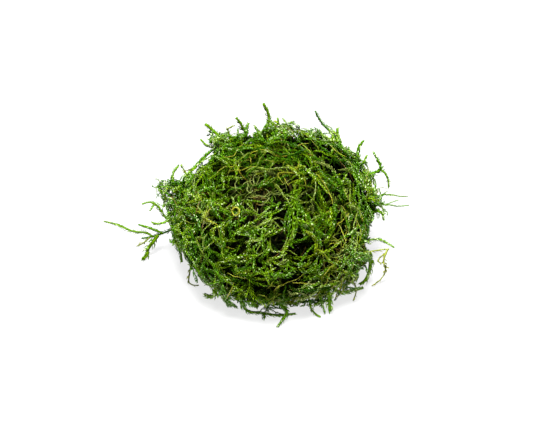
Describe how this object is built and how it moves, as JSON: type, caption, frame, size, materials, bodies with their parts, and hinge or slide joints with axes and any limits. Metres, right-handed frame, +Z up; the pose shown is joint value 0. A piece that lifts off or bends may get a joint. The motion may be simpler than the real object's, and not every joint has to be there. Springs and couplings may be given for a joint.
{
  "type": "moss clump",
  "caption": "Loose rounded clump of creeping moss: interlaced leafy shoots and bare stems, with stray shoots reaching out, resting flat on its underside.",
  "frame": {"origin": "middle of the flat of the underside that the clump rests on", "axes": "+Z up, out of the resting face; -Y towards the viewer of the picture; +X to the viewer's right, along the clump's longest reach, opposite to its long forked stray shoot"},
  "size_m": [0.1122, 0.0756, 0.0565],
  "materials": {
    "moss_tangle": "matt, damp leafy moss, mixed greens",
    "leafy_shoot": "matt green leafy shoot",
    "olive_stem": "matt olive stem",
    "yellow_stem": "matt yellow bare stem"
  },
  "bodies": {
    "root": {"moss_tangle": "moss_tangle", "left_forked_shoot": "olive_stem", "left_forked_shoot_long_branch": "leafy_shoot", "left_forked_shoot_upper_branch": "leafy_shoot", "left_forked_shoot_thin_branch": "olive_stem", "left_forked_shoot_lower_branch": "leafy_shoot", "left_hooked_shoot": "leafy_shoot", "left_low_sprig": "leafy_shoot", "left_spike": "leafy_shoot", "left_low_spike": "leafy_shoot", "left_brown_thread": "olive_stem", "upper_left_loose_arch": "olive_stem", "upper_left_spike": "leafy_shoot", "crown_left_blade": "leafy_shoot", "crown_left_hook": "olive_stem", "crown_middle_blade": "leafy_shoot", "crown_small_blade": "leafy_shoot", "crown_tall_shoot": "leafy_shoot", "crown_knob": "leafy_shoot", "crown_right_whip": "olive_stem", "crown_right_blade": "leafy_shoot", "right_shoulder_curl": "leafy_shoot", "right_shoulder_twig": "leafy_shoot", "right_arching_shoot": "leafy_shoot", "right_arching_shoot_drooping_branch": "leafy_shoot", "right_upper_whisker": "leafy_shoot", "right_lower_whisker": "leafy_shoot", "right_fringe": "leafy_shoot", "right_bent_shoot": "leafy_shoot", "right_yellow_stem": "yellow_stem", "right_yellow_stem_drooping_branch": "yellow_stem", "right_low_curl": "leafy_shoot", "front_right_sprig": "leafy_shoot", "front_right_thread": "olive_stem", "front_right_leafy_toe": "leafy_shoot", "front_right_thin_toe": "leafy_shoot", "front_middle_twig": "leafy_shoot", "front_trailing_shoot": "leafy_shoot", "front_trailing_shoot_crossing_branch": "leafy_shoot", "front_leafy_toe": "leafy_shoot", "front_left_tuft": "leafy_shoot", "front_left_curl": "leafy_shoot"}
  },
  "joints": []
}
